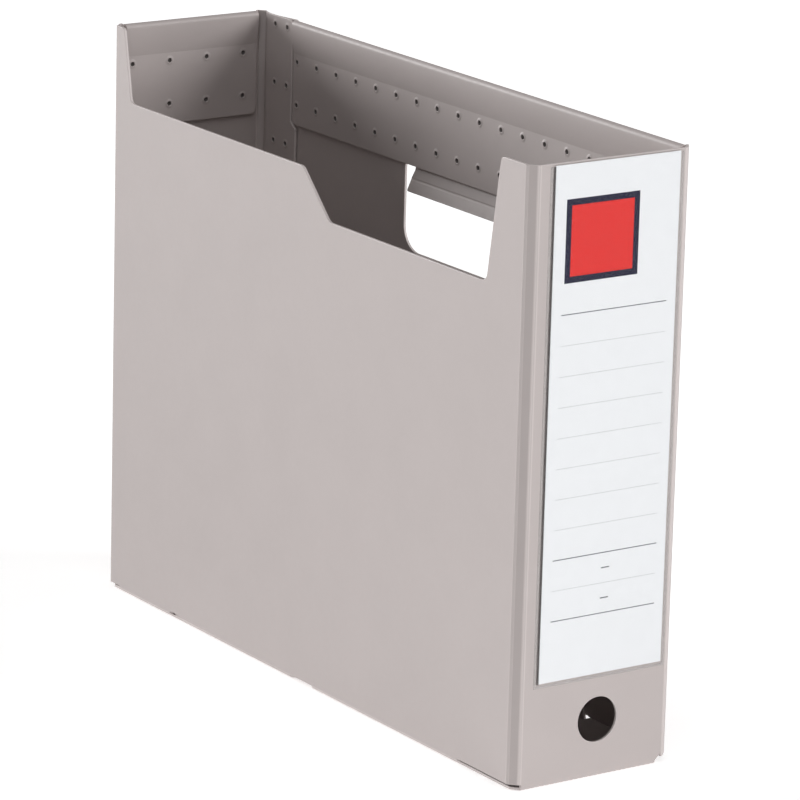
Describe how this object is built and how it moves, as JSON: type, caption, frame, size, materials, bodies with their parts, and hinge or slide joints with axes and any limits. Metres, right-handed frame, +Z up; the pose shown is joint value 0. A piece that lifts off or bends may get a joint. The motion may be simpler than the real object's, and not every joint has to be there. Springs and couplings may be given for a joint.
{
  "type": "magazine file holder",
  "caption": "Open-topped landscape magazine file folded from plastic sheet: stepped low side, hemmed high side with a hand hole, label pocket and finger hole on the end, locking bottom.",
  "frame": {"origin": "middle of the footprint, on the surface that the box stands on", "axes": "+Z up, -Y towards the label end, -X towards the low side with the cut-out"},
  "size_m": [0.078, 0.315, 0.254],
  "materials": {
    "sheet": "fine satin-matt polypropylene sheet, warm grey",
    "label": "smooth white card with a printed frame and ruled lines",
    "film": "clear glossy film"
  },
  "bodies": {
    "far_side": {"far_side_panel": "sheet", "far_hem": "sheet", "seam_flap": "sheet"},
    "far_front_corner": {"far_front_corner_strip": "sheet"},
    "front": {"front_panel": "sheet", "label_pocket": "film"},
    "near_front_corner": {"near_front_corner_strip": "sheet"},
    "near_side": {"near_side_panel": "sheet"},
    "far_rear_corner": {"far_rear_corner_strip": "sheet"},
    "rear": {"rear_panel": "sheet", "rear_hem": "sheet"},
    "near_rear_corner": {"near_rear_corner_strip": "sheet"},
    "front_outer_flap": {"front_bottom_flap": "sheet", "front_lock_ear": "sheet"},
    "rear_outer_flap": {"rear_bottom_flap": "sheet", "rear_lock_ear": "sheet"},
    "near_inner_flap": {"near_bottom_flap": "sheet"},
    "far_inner_flap": {"far_bottom_flap": "sheet"},
    "grip_upper": {"grip_band": "sheet"},
    "grip_lower": {"grip_lip": "sheet"},
    "label": {"label_card": "label"}
  },
  "joints": [
    {"name": "sleeve_fold", "type": "hinge", "parent": "far_side", "child": "far_front_corner", "pos_m": [0.039, -0.1527, 0], "axis": [0, 0, 1], "range_deg": [0, 30]},
    {"name": "front_crease", "type": "hinge", "parent": "far_front_corner", "child": "front", "pos_m": [0.0354, -0.1563, 0], "axis": [0, 0, 1], "range_deg": [0, 30]},
    {"name": "near_front_crease", "type": "hinge", "parent": "front", "child": "near_front_corner", "pos_m": [-0.0354, -0.1563, 0], "axis": [0, 0, -1], "range_deg": [0, 30]},
    {"name": "near_side_crease", "type": "hinge", "parent": "near_front_corner", "child": "near_side", "pos_m": [-0.039, -0.1527, 0], "axis": [0, 0, -1], "range_deg": [0, 30]},
    {"name": "far_rear_crease", "type": "hinge", "parent": "far_side", "child": "far_rear_corner", "pos_m": [0.039, 0.1539, 0], "axis": [0, 0, 1], "range_deg": [0, 30]},
    {"name": "rear_crease", "type": "hinge", "parent": "far_rear_corner", "child": "rear", "pos_m": [0.0354, 0.1575, 0], "axis": [0, 0, 1], "range_deg": [0, 30]},
    {"name": "near_rear_crease", "type": "hinge", "parent": "rear", "child": "near_rear_corner", "pos_m": [-0.0354, 0.1575, 0], "axis": [0, 0, -1], "range_deg": [0, 30]},
    {"name": "front_flap_fold", "type": "hinge", "parent": "front", "child": "front_outer_flap", "pos_m": [0, -0.1551, 0.0006], "axis": [-1, 0, 0], "range_deg": [0, 90]},
    {"name": "rear_flap_fold", "type": "hinge", "parent": "rear", "child": "rear_outer_flap", "pos_m": [0, 0.1563, 0.0006], "axis": [1, 0, 0], "range_deg": [0, 90]},
    {"name": "near_flap_fold", "type": "hinge", "parent": "near_side", "child": "near_inner_flap", "pos_m": [-0.0378, 0, 0.0027], "axis": [0, -1, 0], "range_deg": [0, 85]},
    {"name": "far_flap_fold", "type": "hinge", "parent": "far_side", "child": "far_inner_flap", "pos_m": [0.0378, 0, 0.0027], "axis": [0, 1, 0], "range_deg": [0, 85]},
    {"name": "grip_fold", "type": "hinge", "parent": "far_side", "child": "grip_upper", "pos_m": [0.0384, 0, 0.2068], "axis": [0, 1, 0], "range_deg": [-15, 70], "stiffness_Nm_per_rad": 0.004},
    {"name": "lip_fold", "type": "hinge", "parent": "grip_upper", "child": "grip_lower", "pos_m": [0.03713, 0, 0.20207], "axis": [0, 1, 0], "range_deg": [-7.5, 35]},
    {"name": "label_slide", "type": "slide", "parent": "front", "child": "label", "axis": [0, 0, 1], "range_m": [0, 0.212]}
  ],
  "couplings": [
    {"joint": "front_crease", "follows": "sleeve_fold", "ratio": 1},
    {"joint": "near_front_crease", "follows": "sleeve_fold", "ratio": 1},
    {"joint": "near_side_crease", "follows": "sleeve_fold", "ratio": 1},
    {"joint": "far_rear_crease", "follows": "sleeve_fold", "ratio": 1},
    {"joint": "rear_crease", "follows": "sleeve_fold", "ratio": 1},
    {"joint": "near_rear_crease", "follows": "sleeve_fold", "ratio": 1},
    {"joint": "front_flap_fold", "follows": "sleeve_fold", "ratio": 3},
    {"joint": "rear_flap_fold", "follows": "sleeve_fold", "ratio": 3},
    {"joint": "near_flap_fold", "follows": "sleeve_fold", "ratio": 2.8333},
    {"joint": "far_flap_fold", "follows": "sleeve_fold", "ratio": 2.8333},
    {"joint": "lip_fold", "follows": "grip_fold", "ratio": 0.5}
  ]
}
